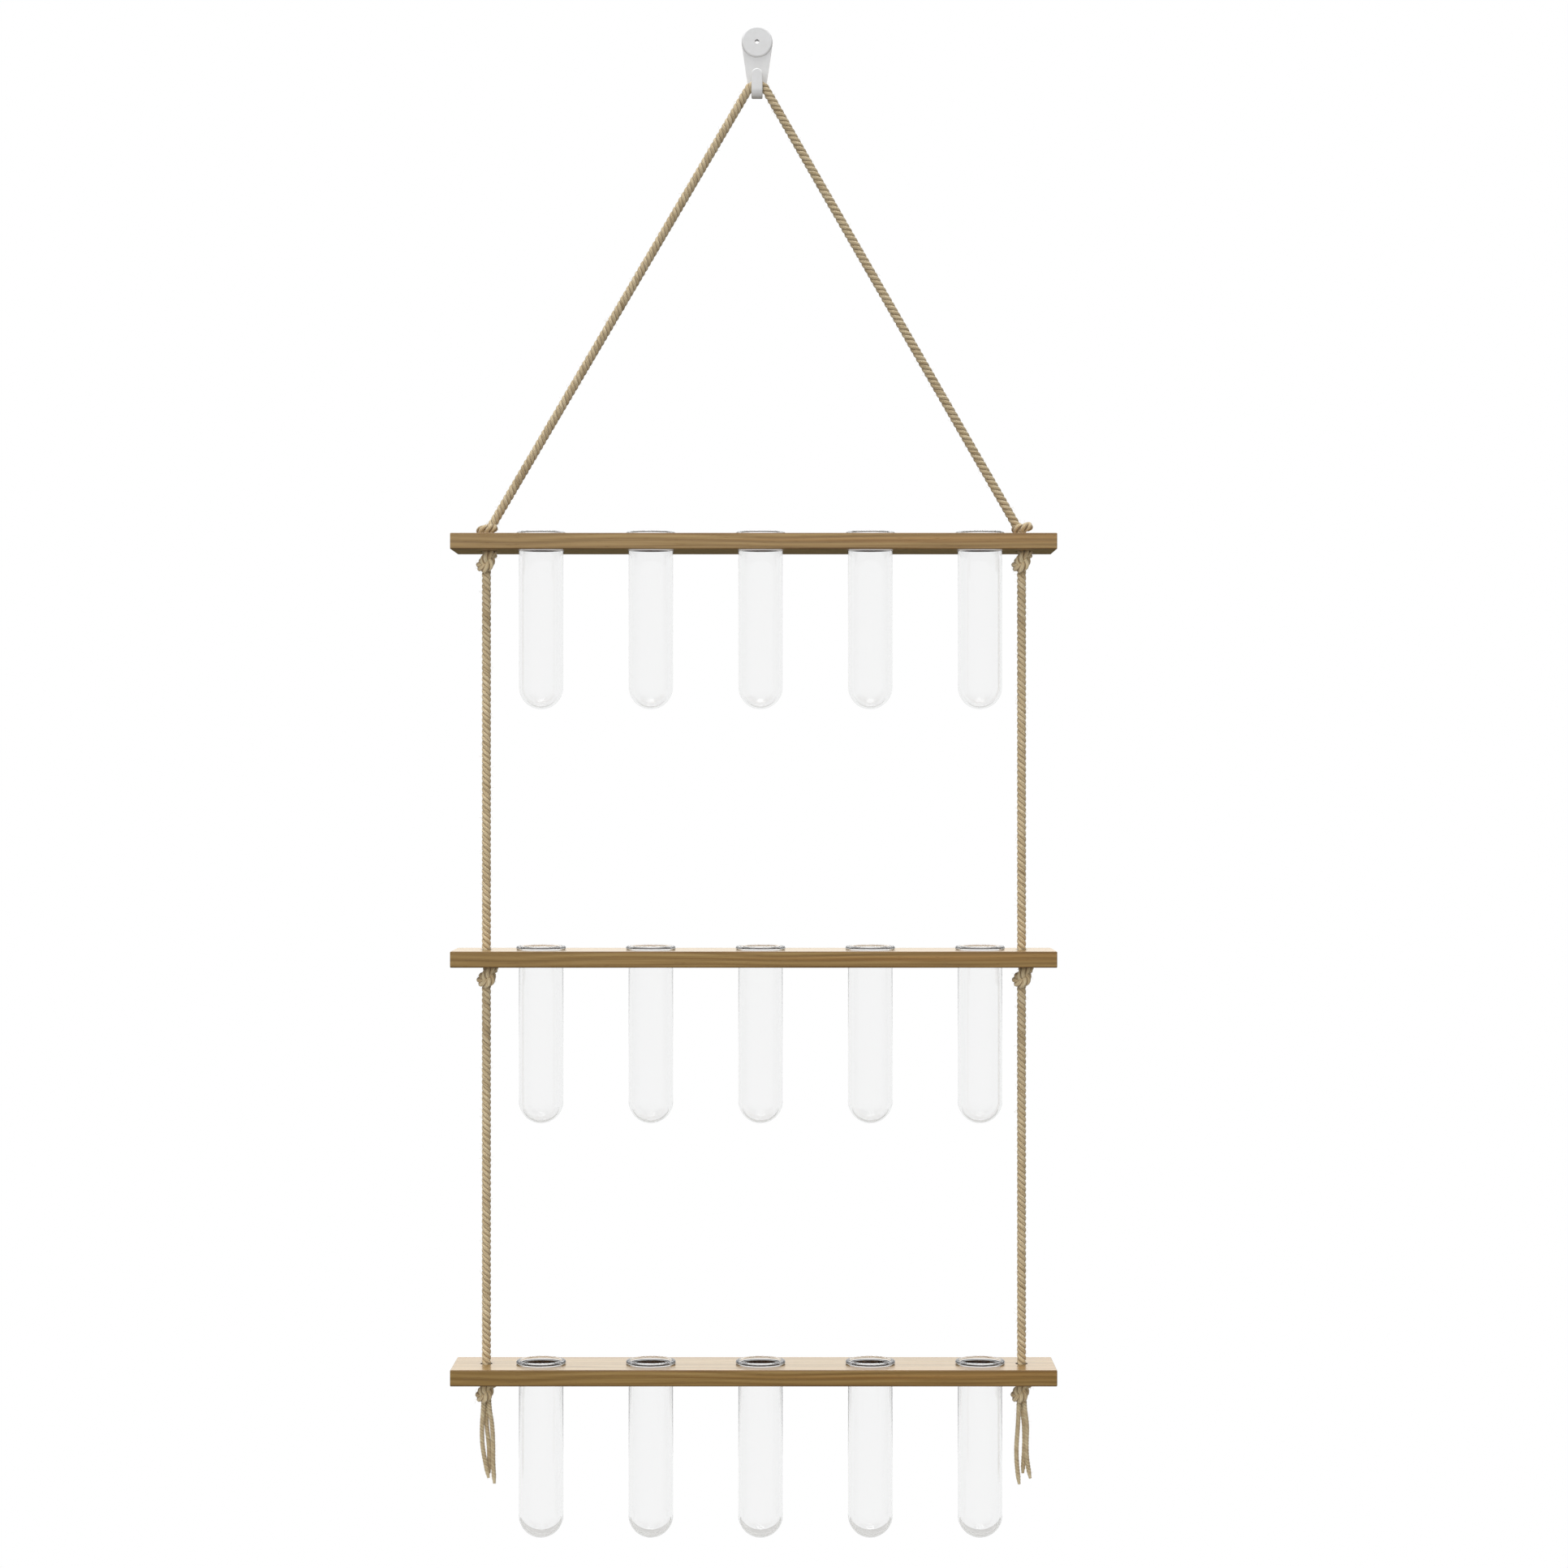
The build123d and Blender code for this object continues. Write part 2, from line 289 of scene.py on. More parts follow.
floor_mesh.materials.append(floor_finish)
pale_floor = bpy.data.objects.new("pale_floor", floor_mesh)
scene.collection.objects.link(pale_floor)
print("floor at", floor_height)

# %% [markdown]
# ## Jute
# The rope is jute: dry, hairy fibres in straw and brown, with a soft sheen and no gloss. Colour and bump
# follow the fibres, so the material reads a "fibre" attribute that each rope carries: the place on its
# strand as if the strand were pulled straight, in metres. Noise stretched along that line looks like
# fibres. A second attribute, "lift_off", says how far out from the rope's middle a point lies, and
# darkens the grooves between strands with painted shade; the gaps between yarns get painted shade too.
# There are three tones, which are painted light: darkest on the V and its top knots, where the overhead
# lamp lights them most, plain on the drops, and palest in the lower knots and the tails, which hang in
# the bars' shadow.

# %% Jute finish
straw_tones = [(0.28, (162, 137, 100)), (0.44, (212, 192, 154)),
               (0.58, (232, 214, 178)), (0.76, (244, 231, 203))]
# Tints for painted shade, in the grooves between strands and in the gaps between yarns.
groove_painted_shade, yarn_gap_painted_shade = (158, 135, 106), (224, 212, 194)
palest, yarns_in_strand = 0.96, 8


def jute_finish(name, lightness):
    """Jute fibres, with all their tones made lighter or darker by one share."""
    finish, tree, shader = new_finish(name, 0.92, Sheen_Weight=0.4, Sheen_Roughness=0.5,
                                      Specular_IOR_Level=0.2)
    place = add_node(tree, "ShaderNodeAttribute", {"attribute_name": "fibre"}).outputs["Vector"]
    fine_fibres = noise(tree, place, (6500, 6500, 420), 3)
    fibre_bundles = noise(tree, place, (1800, 1800, 120), 3)
    tone_patches = noise(tree, place, (160, 160, 45), 2)
    parts = split(tree, place)
    round_strand = sums(tree, "SUBTRACT", parts["X"], sums(tree, "ROUND", parts["X"]))
    yarn_angle = sums(tree, "ARCTAN2", parts["Y"], round_strand)
    yarn_wave = sums(tree, "SINE", sums(tree, "MULTIPLY", yarn_angle, yarns_in_strand / 2))
    yarn_round = sums(tree, "ABSOLUTE", yarn_wave)
    tone = blended(tree, (fine_fibres, 0.4), (fibre_bundles, 0.6))
    tone = sums(tree, "ADD", tone, sums(tree, "MULTIPLY_ADD", tone_patches, 0.5, -0.25))
    stops = []
    for stop, tint in straw_tones:
        shares = [min(share * lightness, palest) for share in seen_colour(*tint)[:3]]
        stops.append((stop, shares + [1.0]))
    colour = colour_ramp(tree, tone, stops)
    lift_off = add_node(tree, "ShaderNodeAttribute", {"attribute_name": "lift_off"}).outputs["Fac"]
    # Painted shade in the grooves between strands, where lift_off is low.
    colour = darkened(tree, colour, mapped(tree, lift_off, 0.92, 0.62), groove_painted_shade)
    # Painted shade in the gaps between the yarns of each strand.
    colour = darkened(tree, colour, mapped(tree, yarn_round, 0.45, 0.0), yarn_gap_painted_shade)
    tree.links.new(colour, shader.inputs["Base Color"])
    height = sums(tree, "ADD", tone, sums(tree, "MULTIPLY", yarn_round, 0.5))
    bumped(tree, shader, height, strength=0.8, distance=0.0004)
    return finish

# Painted light: the V and its top knots are painted darker, where the overhead lamp lights them most, and
# the lower knots and the tails lighter, where the bars shade them.
handled_jute = jute_finish("handled_jute", 0.80)
plain_jute = jute_finish("plain_jute", 1.05)
opened_jute = jute_finish("opened_jute", 1.22)
print("jute in", len([m for m in bpy.data.materials if "jute" in m.name]), "tones")

# %% [markdown]
# ## The line a rope follows
# A rope under load has no corners, so each route is a NURBS curve of order 3. Its control points are the
# route's points in the solid model. A curve with no thickness becomes a plain line of vertices, and
# everything that makes up the rope then follows that line.

# %% Smooth routes
def smooth_line(name, points):
    """The NURBS curve of a route, as a mesh of vertices and edges."""
    curve = bpy.data.curves.new(name, "CURVE")
    curve.dimensions = "3D"
    curve.resolution_u = 24
    spline = curve.splines.new("NURBS")
    spline.points.add(len(points) - 1)
    for control, place in zip(spline.points, points):
        control.co = (*place, 1.0)
    spline.order_u = 3
    spline.use_endpoint_u = True
    holder = bpy.data.objects.new(name, curve)
    scene.collection.objects.link(holder)
    line = bpy.data.meshes.new_from_object(holder.evaluated_get(bpy.context.evaluated_depsgraph_get()))
    bpy.data.objects.remove(holder)
    bpy.data.curves.remove(curve)
    return line


def line_points(line):
    """A line mesh's vertices in order."""
    return [tuple(vertex.co) for vertex in line.vertices]

millimetre, in_millimetres = 0.001, 1000
rope_sides = {"left": -0.1522, "right": 0.1490}
rope_depth = -0.0225
bar_tops = {"top": -0.2819, "middle": -0.5149, "bottom": -0.7479}
rope_diameter = 0.0052
knot_height = 0.0108
under_bar = 0.0092
knot_feet = {bar: top - under_bar - knot_height for bar, top in bar_tops.items()}
print("knot feet at", {bar: round(z, 4) for bar, z in knot_feet.items()})

# %% [markdown]
# ## Laid rope
# Three strands wind round each other to the left, one full turn in about 10 mm. In Geometry Nodes that
# is: turn the line into a curve, copy it three times, push each copy off the line at an angle that grows
# with the distance along it, and sweep a small circle down each copy. The same tree, with other sizes,
# also lays the yarns of one strand, so it serves the frayed tails as well.

# %% Tree helpers
def new_tree(name, sizes):
    """An empty Geometry Nodes tree with a geometry input, named size inputs and a material input."""
    tree = bpy.data.node_groups.new(name, "GeometryNodeTree")
    tree.interface.new_socket("Geometry", in_out="INPUT", socket_type="NodeSocketGeometry")
    for label in sizes:
        tree.interface.new_socket(label, in_out="INPUT", socket_type="NodeSocketFloat")
    tree.interface.new_socket("Material", in_out="INPUT", socket_type="NodeSocketMaterial")
    tree.interface.new_socket("Geometry", in_out="OUTPUT", socket_type="NodeSocketGeometry")
    return tree, add_node(tree, "NodeGroupInput").outputs


def end_tree(tree, geometry, given):
    """Close a tree: real geometry, smooth, with its material."""
    real = add_node(tree, "GeometryNodeRealizeInstances", in0=geometry).outputs[0]
    smooth = add_node(tree, "GeometryNodeSetShadeSmooth", in0=real).outputs[0]
    dressed = add_node(tree, "GeometryNodeSetMaterial", Geometry=smooth, Material=given["Material"])
    add_node(tree, "NodeGroupOutput", in0=dressed.outputs[0])


def stored(tree, geometry, name, value, kind="FLOAT"):
    """Geometry that carries a named value on its points."""
    settings = {"data_type": kind, "domain": "POINT"}
    return add_node(tree, "GeometryNodeStoreNamedAttribute", settings, Geometry=geometry, Name=name,
                    Value=value).outputs[0]


def recalled(tree, name, kind="FLOAT"):
    """A value that was stored by name."""
    return add_node(tree, "GeometryNodeInputNamedAttribute", {"data_type": kind}, Name=name).outputs[0]

print("tree helpers ready")

# %% Three copies of the line
rope_sizes = ["Diameter", "Lay Length", "Strand Diameter", "Start Turn", "Hand", "Tip Taper"]
lay_tree, given = new_tree("laid_rope", rope_sizes)
strand_count, steps_in_turn = 3, 16.0
line_curve = add_node(lay_tree, "GeometryNodeMeshToCurve", Mesh=given["Geometry"]).outputs[0]
line_step = sums(lay_tree, "DIVIDE", given["Lay Length"], steps_in_turn)
line_curve = add_node(lay_tree, "GeometryNodeResampleCurve", {"mode": "LENGTH"}, Curve=line_curve,
                      Length=line_step).outputs[0]
copies = add_node(lay_tree, "GeometryNodeDuplicateElements", {"domain": "SPLINE"}, Geometry=line_curve,
                  Amount=strand_count).outputs
along = add_node(lay_tree, "GeometryNodeSplineParameter").outputs["Length"]
here = add_node(lay_tree, "GeometryNodeInputPosition").outputs[0]
three_curves = stored(lay_tree, copies["Geometry"], "along", along)
three_curves = stored(lay_tree, three_curves, "strand", copies["Duplicate Index"])
three_curves = stored(lay_tree, three_curves, "core", here, "FLOAT_VECTOR")
print("strands:", strand_count, "with", round(steps_in_turn), "steps in a turn")

# %% Wind the copies
tip_share = 0.2
whole_length = add_node(lay_tree, "GeometryNodeSplineLength").outputs["Length"]
to_tip = sums(lay_tree, "SUBTRACT", whole_length, along)
taper = add_node(lay_tree, "ShaderNodeMapRange", {"interpolation_type": "SMOOTHSTEP"}, Value=to_tip,
                 From_Min=0.0, From_Max=given["Tip Taper"], To_Min=tip_share, To_Max=1.0).outputs[0]
winding = sums(lay_tree, "DIVIDE", sums(lay_tree, "MULTIPLY", along, given["Hand"]), given["Lay Length"])
winding = sums(lay_tree, "ADD", winding, sums(lay_tree, "DIVIDE", copies["Duplicate Index"], strand_count))
turn = sums(lay_tree, "MULTIPLY", sums(lay_tree, "ADD", winding, given["Start Turn"]), math.tau)
side_way = add_node(lay_tree, "GeometryNodeInputNormal").outputs[0]
line_way = add_node(lay_tree, "GeometryNodeInputTangent").outputs[0]
other_way = vector_sums(lay_tree, "CROSS_PRODUCT", line_way, side_way)
reach = sums(lay_tree, "SUBTRACT", given["Diameter"], given["Strand Diameter"])
reach = sums(lay_tree, "MULTIPLY", sums(lay_tree, "MULTIPLY", reach, 0.5), taper)
out_side = scaled(lay_tree, side_way, sums(lay_tree, "MULTIPLY", reach, sums(lay_tree, "COSINE", turn)))
out_other = scaled(lay_tree, other_way, sums(lay_tree, "MULTIPLY", reach, sums(lay_tree, "SINE", turn)))
three_curves = stored(lay_tree, three_curves, "taper", taper)
three_curves = add_node(lay_tree, "GeometryNodeSetCurveRadius", Curve=three_curves, Radius=taper).outputs[0]
wound = add_node(lay_tree, "GeometryNodeSetPosition", Geometry=three_curves,
                 Offset=vector_sums(lay_tree, "ADD", out_side, out_other)).outputs[0]
print("tips thin down to", tip_share, "of the rope")

# %% Sweep the strands and mark their fibres
strand_radius = sums(lay_tree, "MULTIPLY", given["Strand Diameter"], 0.5)
section = add_node(lay_tree, "GeometryNodeCurvePrimitiveCircle", Resolution=12, Radius=strand_radius)
around = add_node(lay_tree, "GeometryNodeSplineParameter").outputs["Factor"]
section = stored(lay_tree, section.outputs[0], "around", around)
strands = add_node(lay_tree, "GeometryNodeCurveToMesh", Curve=wound, Profile_Curve=section,
                   Fill_Caps=True).outputs[0]
yarn_turn = sums(lay_tree, "DIVIDE", recalled(lay_tree, "along"), given["Lay Length"])
yarn_turn = sums(lay_tree, "MULTIPLY", yarn_turn, sums(lay_tree, "MULTIPLY", given["Hand"], -1.0))
fibre_turn = sums(lay_tree, "ADD", recalled(lay_tree, "around"), yarn_turn)
fibre_turn = sums(lay_tree, "MULTIPLY", fibre_turn, math.tau)
fibre_x = sums(lay_tree, "MULTIPLY_ADD", sums(lay_tree, "COSINE", fibre_turn), strand_radius,
               recalled(lay_tree, "strand"))
fibre_y = sums(lay_tree, "MULTIPLY", sums(lay_tree, "SINE", fibre_turn), strand_radius)
fibre_place = add_node(lay_tree, "ShaderNodeCombineXYZ", X=fibre_x, Y=fibre_y,
                       Z=recalled(lay_tree, "along")).outputs[0]
strands = stored(lay_tree, strands, "fibre", fibre_place, "FLOAT_VECTOR")
from_core = add_node(lay_tree, "ShaderNodeVectorMath", {"operation": "DISTANCE"}, in0=here,
                     in1=recalled(lay_tree, "core", "FLOAT_VECTOR")).outputs["Value"]
rope_radius = sums(lay_tree, "MULTIPLY", given["Diameter"], 0.5)
rope_radius = sums(lay_tree, "MULTIPLY", rope_radius, recalled(lay_tree, "taper"))
strands = stored(lay_tree, strands, "lift_off", sums(lay_tree, "DIVIDE", from_core, rope_radius))
end_tree(lay_tree, strands, given)
print("rope tree", len(lay_tree.nodes), "nodes")

# %% [markdown]
# ## Stray fibres
# Jute is never quite smooth. A second tree scatters short hairs over the outer side of the strands:
# points on the faces, a thin bent hair on each point, turned and sized at random from a fixed seed.

# %% One hair
hair_tree, given = new_tree("stray_fibres", ["Hairs Per Area", "Hair Length", "Seed"])
hair_root, hair_bend, hair_tip = (0, 0, -0.06), (0.25, 0, 0.42), (0.95, 0.12, 0.40)
hair_line = add_node(hair_tree, "GeometryNodeCurveQuadraticBezier", Resolution=4, Start=hair_root,
                     Middle=hair_bend, End=hair_tip).outputs[0]
to_point = add_node(hair_tree, "GeometryNodeSplineParameter").outputs["Factor"]
thinning = sums(hair_tree, "MULTIPLY_ADD", to_point, -0.8, 1.0)
hair_line = add_node(hair_tree, "GeometryNodeSetCurveRadius", Curve=hair_line, Radius=thinning).outputs[0]
hair_section = add_node(hair_tree, "GeometryNodeCurvePrimitiveCircle", Resolution=3, Radius=0.016).outputs[0]
hair = add_node(hair_tree, "GeometryNodeCurveToMesh", Curve=hair_line, Profile_Curve=hair_section,
                Fill_Caps=True).outputs[0]
print("a hair bends out by", hair_bend[2], "of its length")

# %% Scatter the hairs
def drawn(low, high, seed):
    """A number drawn for each hair."""
    return add_node(hair_tree, "FunctionNodeRandomValue", {"data_type": "FLOAT"}, in2=low, in3=high,
                    Seed=seed).outputs[1]

outer_share, shortest = 0.78, 0.35
outer_side = sums(hair_tree, "GREATER_THAN", recalled(hair_tree, "lift_off"), outer_share)
roots = add_node(hair_tree, "GeometryNodeDistributePointsOnFaces", Mesh=given["Geometry"],
                 Selection=outer_side, Density=given["Hairs Per Area"], Seed=given["Seed"]).outputs
spin = add_node(hair_tree, "ShaderNodeCombineXYZ", Z=drawn(0.0, math.tau, seed=3)).outputs[0]
spun = add_node(hair_tree, "FunctionNodeRotateRotation", {"rotation_space": "LOCAL"}, in0=roots["Rotation"],
                in1=spin).outputs[0]
hair_size = sums(hair_tree, "MULTIPLY", drawn(shortest, 1.0, seed=5), given["Hair Length"])
hairs = add_node(hair_tree, "GeometryNodeInstanceOnPoints", Points=roots["Points"], Instance=hair,
                 Rotation=spun, Scale=hair_size).outputs[0]
joined = add_node(hair_tree, "GeometryNodeJoinGeometry", Geometry=given["Geometry"])
hair_tree.links.new(hairs, joined.inputs["Geometry"])
end_tree(hair_tree, joined.outputs[0], given)
print("stray fibre tree", len(hair_tree.nodes), "nodes")

# %% Grow a piece with a tree
def grown_on(piece, tree, sizes, material):
    """Run a tree on a piece and put the resulting plain mesh in its place."""
    modifier = piece.modifiers.new(tree.name, "NODES")
    modifier.node_group = tree
    sockets = {item.name: item.identifier for item in tree.interface.items_tree if item.in_out == "INPUT"}
    for label, value in {**sizes, "Material": material}.items():
        modifier[sockets[label]] = value
    result = bpy.data.meshes.new_from_object(piece.evaluated_get(bpy.context.evaluated_depsgraph_get()))
    piece.modifiers.remove(modifier)
    piece.data = result
    result.name = piece.name
    for spare in ("along", "around", "strand", "core", "taper"):
        if spare in result.attributes:
            result.attributes.remove(result.attributes[spare])

pieces = {}
paths = {}
rope_hairs, strand_hairs = (0.9e5, 0.0026), (1.6e5, 0.0019)


def lay_rope(name, line, finish, start_turn=0.0, diameter=rope_diameter, lay=0.0098, strand_share=0.485,
             tip_taper=0.00001):
    """Three strands laid along a line to the left, with stray fibres on their outer side."""
    rope = bpy.data.objects.new(name, line)
    scene.collection.objects.link(rope)
    sizes = {"Diameter": diameter, "Lay Length": lay, "Strand Diameter": diameter * strand_share,
             "Start Turn": start_turn, "Hand": -1.0, "Tip Taper": tip_taper}
    grown_on(rope, lay_tree, sizes, finish)
    per_area, length = strand_hairs if diameter < rope_diameter else rope_hairs
    hair_sizes = {"Hairs Per Area": per_area, "Hair Length": length, "Seed": len(pieces)}
    grown_on(rope, hair_tree, hair_sizes, finish)
    return rope

print("hairs on a square centimetre of rope:", round(rope_hairs[0] / 1e4))

# %% [markdown]
# ## The hanging V
# One length of rope runs from the left knot on the top bar, over the hook and down to the right knot. Its
# legs lean back to the hook, which stands closer to the wall than the bars' middle. Two extra control
# points on each leg, one close to the hook and one six diameters away, keep the legs straight and the
# bend tight.

# %% Hanging rope
apex = Vector((0, -0.0073, -0.0250))
half_top, above_bar, leg_neck = 0.0034, 0.0005, 0.0050
leg_roots = {side: Vector((x, rope_depth, bar_tops["top"] + above_bar)) for side, x in rope_sides.items()}
leg_tops = {"left": apex - Vector((half_top, 0, 0)), "right": apex + Vector((half_top, 0, 0))}
leg_ways = {side: (leg_tops[side] - leg_roots[side]).normalized() for side in rope_sides}
near_hook, six_diameters = 2 * half_top, 6 * rope_diameter
hanging_points = []
for side in ("left", "right"):
    leg = [leg_roots[side] + leg_ways[side] * leg_neck, leg_tops[side] - leg_ways[side] * six_diameters,
           leg_tops[side] - leg_ways[side] * near_hook, leg_tops[side]]
    hanging_points += leg if side == "left" else leg[::-1]
hanging_line = smooth_line("hanging_rope_line", hanging_points)
paths["hanging_rope"] = line_points(hanging_line)
pieces["hanging_rope"] = lay_rope("jute_hanging_rope", hanging_line, handled_jute)
print("hanging rope:", len(pieces["hanging_rope"].data.polygons), "faces")

# %% [markdown]
# ## The drops between the bars
# Below each knot the rope hangs straight down to the next bar and goes through it. It starts a little
# inside the knot above, where the swing has its pivot, so no end shows when the tier below swings.

# %% Rope drops
tier_above = {"middle": "top", "bottom": "middle"}
inside_knot = 0.0022
for bar, upper in tier_above.items():
    for number, (side, x) in enumerate(rope_sides.items()):
        drop_top, drop_foot = knot_feet[upper] + inside_knot, bar_tops[bar] - under_bar
        drop_heights = (drop_top, (drop_top + drop_foot) / 2, drop_foot)
        name = f"{side}_{bar}_rope"
        line = smooth_line(name + "_line", [(x, rope_depth, height) for height in drop_heights])
        paths[name] = line_points(line)
        start_turn = 0.37 * number + 0.21 * len(bar)
        pieces[name] = lay_rope(f"jute_{name}", line, plain_jute, start_turn)
print("drops:", [name for name in pieces if name.endswith(("middle_rope", "bottom_rope"))])

# %% [markdown]
# ## Tails
# Under the bottom knots the three strands are left unlaid. Each one is a loose twist of yarns, wavy from
# the winding it was in, and it ends in a point. The tree that laid the rope lays the yarns too, with
# thinner parts, a tighter twist and a taper at the tip. The routes are in millimetres from the foot of
# the knot.

# %% Unlaid strands
strand_routes = {
    "left_outer": [(-1.5, -0.8, 2.2), (-1.6, -0.9, -5), (-2.4, -1.2, -14), (-2.3, -1.4, -25),
                   (-0.6, -1.3, -35), (1.3, -1.2, -44)],
    "left_inner": [(1.5, -0.8, 2.2), (1.6, -0.9, -5), (3.4, -1.2, -14), (3.9, -1.3, -26),
                   (3.8, -1.2, -37), (4.6, -1.0, -47.2)],
    "left_back": [(0, 1.6, 2.2), (0, 1.75, -5), (-0.2, 2.0, -14), (1.1, 1.8, -24),
                  (1.6, 1.7, -33), (1.4, 1.8, -42)],
    "right_inner": [(-1.5, -0.8, 2.2), (-1.6, -0.9, -5), (-2.1, -1.3, -15), (-3.1, -1.3, -27),
                    (-2.7, -1.2, -38), (-1.4, -1.0, -47.6)],
    "right_outer": [(1.5, -0.8, 2.2), (1.6, -0.9, -5), (3.1, -1.2, -14), (2.6, -1.3, -25),
                    (2.9, -1.3, -35), (4.8, -1.1, -44.3)],
    "right_back": [(0, 1.6, 2.2), (0.3, 1.75, -5), (1.6, 2.0, -14), (1.8, 1.7, -24),
                   (1.4, 1.8, -33), (0.8, 1.9, -42)],
}
strand_diameter = 0.0025
strand_sizes = {"diameter": strand_diameter * 1.08, "lay": 0.0054, "strand_share": 0.52, "tip_taper": 0.0045}
for number, (name, route) in enumerate(strand_routes.items()):
    root = Vector((rope_sides[name.split("_")[0]], rope_depth, knot_feet["bottom"]))
    line = smooth_line(name + "_line", [root + Vector(place) * millimetre for place in route])
    paths[f"{name}_strand"] = line_points(line)
    pieces[f"{name}_strand"] = lay_rope(f"jute_{name}_strand", line, opened_jute, 0.17 * number,
                                        **strand_sizes)
print("tails:", len(strand_routes))

# %% [markdown]
# ## Knots
# Each knot is an overhand knot, and a convincing one has to be really tied. A trefoil curve cut open is a
# loose overhand knot. Tightening it is two moves in turn: pull every point towards the middle of its
# neighbours, and push apart points of the rope that come nearer than its squeezed thickness. After some
# rounds it holds still.

# %% Tie and tighten
def loose_overhand(start, end, size):
    """A loose overhand knot between two points above and below it."""
    turn = np.linspace(1.06 * np.pi, 2.94 * np.pi, 160)
    loop = np.stack([np.cos(turn) - 2 * np.cos(2 * turn) + 3, -2.4 * np.sin(3 * turn),
                     np.sin(turn) + 2 * np.sin(2 * turn)], axis=1) * size
    return np.concatenate([np.linspace(start, loop[0], 24)[:-1], loop, np.linspace(loop[-1], end, 24)[1:]])


def respaced(line, count):
    """The same line with evenly spaced points, and its length."""
    along = np.concatenate([[0], np.cumsum(np.linalg.norm(np.diff(line, axis=0), axis=1))])
    even = np.linspace(0, along[-1], count)
    return np.stack([np.interp(even, along, line[:, axis]) for axis in range(3)], axis=1), along[-1]


def tightened(line, thickness, rounds=220, count=110):
    """Pull the rope tight until it lies against itself."""
    pull, half_each, neighbours, crowding = 0.45, 0.5, 1.4, 0.7
    line, length = respaced(line, count)
    order = np.arange(count)
    for _ in range(rounds):
        for _ in range(4):
            line[1:-1] += pull * ((line[:-2] + line[2:]) / 2 - line[1:-1])
        for _ in range(3):
            gap = line[None] - line[:, None]
            distance = np.linalg.norm(gap, axis=2)
            apart = np.abs(order[:, None] - order[None]) * length / (count - 1)
            close = (distance < thickness) & (apart > neighbours * thickness)
            push = np.where(close, half_each * (thickness - distance) / np.maximum(distance, 1e-9), 0)
            crowd = np.maximum(close.sum(axis=1), 1)[:, None] ** crowding
            move = -(push[:, :, None] * gap).sum(axis=1) / crowd
            move[[0, -1]] = 0
            line = line + move
        line, length = respaced(line, count)
    return line, length

half_knot = knot_height * in_millimetres / 2
lead_in, loose_size, squeezed = 3, 1.7, 3.5
loose_knot = loose_overhand((0, 0, half_knot + lead_in), (0, 0, -half_knot), loose_size)
plain_knot, plain_length = tightened(loose_knot, squeezed)
knot_size = np.ptp(plain_knot, axis=0) + rope_diameter * in_millimetres
print("tight knot:", knot_size.round(1), "mm with", round(plain_length, 1), "mm of rope")

# %% Place the knots
knot_lean, lean_reach = 0.6, 1.3


def knot_piece(name, line, middle, spin, start_turn):
    """Turn a tied line about its rope, set it in place in metres and lay rope along it."""
    turned = np.array([[math.cos(spin), -math.sin(spin), 0], [math.sin(spin), math.cos(spin), 0], [0, 0, 1]])
    placed = line @ turned.T * (1, -1, 1)
    placed[:, 0] -= knot_lean * np.clip(lean_reach - np.abs(line[:, 2]) / half_knot, 0, 1)
    placed = placed * millimetre + np.array(middle)
    route = [tuple(point) for point in placed[::3]] + [tuple(placed[-1])]
    return lay_rope(name, smooth_line(name + "_line", route), opened_jute, start_turn, tip_taper=0.003)

knot_spins = {"top": 1.3, "middle": 1.2, "bottom": 1.42}
side_spins = {"left": 0.0, "right": 0.12}
for side, x in rope_sides.items():
    for bar, top in bar_tops.items():
        middle = (x, rope_depth, top - under_bar - knot_height / 2)
        name = f"{side}_{bar}_knot"
        spin = knot_spins[bar] + side_spins[side]
        pieces[name] = knot_piece(f"jute_{name}", plain_knot, middle, spin, 0.1 * len(bar))
print("knots:", [name for name in pieces if name.endswith("knot")])

# %% [markdown]
# On the top bar the same knot is pulled down flat: the rope comes up through the hole, takes one tipped
# turn round itself, low on the outer side, and leaves as a leg of the V. Its route is short enough to
# write as a ring.

# %% Knots on the top bar
up_the_hole = [(0, 0, -0.0096), (0, 0, -0.0040), (0, -0.0006, 0.0002)]
ring_heights = {"left": 0.0029, "right": 0.0037}
ring_radius, ring_tip, ring_climb = 0.0038, 0.29, 0.00007
ring_start, ring_step, ring_points = -100, 40, 10
for side in rope_sides:
    way, root = leg_ways[side], leg_roots[side]
    turn_middle = root + Vector((0.0004, 0, ring_heights[side]))
    route = [root + Vector(place) for place in up_the_hole]
    for step in range(ring_points):
        angle = math.radians(ring_start + ring_step * step)
        across = Vector((math.cos(angle), math.sin(angle), ring_tip * math.cos(angle)))
        route.append(turn_middle + across * ring_radius + Vector((0, 0, ring_climb * (step - 4))))
    route += [root + way * 0.0035, root + way * 0.0062]
    name = f"jute_{side}_upper_knot"
    pieces[f"{side}_upper_knot"] = lay_rope(name, smooth_line(name + "_line", route), handled_jute, 0.3)
print("upper knots:", [name for name in pieces if "upper" in name])

# %% [markdown]
# ## Wood
# The bars are planed boards, dark straw brown and oiled rather than varnished. Grain runs along X. Growth
# rings are bands of distance from a line off to one side, bent by slow noise, then come fine streaks, a
# redder heart and short dark pores. The pattern is solid, so it meets itself at every edge and shows
# rings on the ends. The long edges and the walls of the drilled holes are darker, and two masks find them
# by their place in the bar.

# %% Edges and drilled holes
row_middle, tube_pitch, row_reach = 0.0037, 0.061750, 0.14
tube_hole, rope_hole, rope_reach = 0.0129, 0.0035, 0.1506


def edge_mask(tree, across, half):
    """High in a thin line along the bar's long edges, where the wood is made darker."""
    inset_y = sums(tree, "SUBTRACT", half[1], sums(tree, "ABSOLUTE", across["Y"]))
    inset_z = sums(tree, "SUBTRACT", half[2], sums(tree, "ABSOLUTE", across["Z"]))
    return mapped(tree, sums(tree, "MAXIMUM", inset_y, inset_z), 0.0009, 0.0003)


